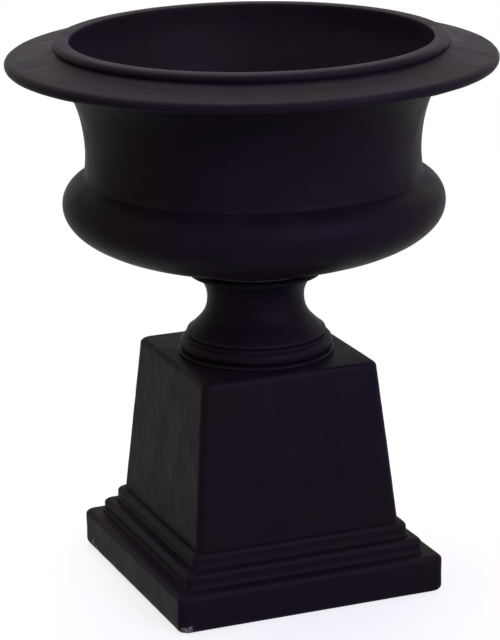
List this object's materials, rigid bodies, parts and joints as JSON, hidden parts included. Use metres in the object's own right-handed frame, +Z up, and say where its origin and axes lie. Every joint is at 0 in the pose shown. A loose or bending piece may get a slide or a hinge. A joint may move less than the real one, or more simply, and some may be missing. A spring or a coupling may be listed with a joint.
{
  "type": "urn planter",
  "caption": "Garden urn planter: a wide-rimmed round bowl on a slim turned stem over a stepped square plinth, drained through the middle and held together by a hidden tie rod.",
  "frame": {"origin": "on the floor under the middle of the plinth", "axes": "+Z up along the axis of bowl and stem; +X and +Y square to two sides of the plinth"},
  "size_m": [0.508, 0.508, 0.5817],
  "materials": {
    "painted_casting": "satin",
    "black_rubber": "matte",
    "zinc_steel": "satin"
  },
  "bodies": {
    "root": {"plinth": "painted_casting", "stem_foot": "painted_casting", "bowl": "painted_casting", "foot_gasket": "black_rubber", "bowl_gasket": "black_rubber", "bowl_seal_washer": "black_rubber", "bowl_washer": "zinc_steel", "bowl_nut": "zinc_steel", "spreader_washer": "zinc_steel", "plinth_washer": "zinc_steel", "plinth_nut": "zinc_steel", "plinth_locknut": "zinc_steel", "tie_rod": "zinc_steel"}
  },
  "joints": []
}
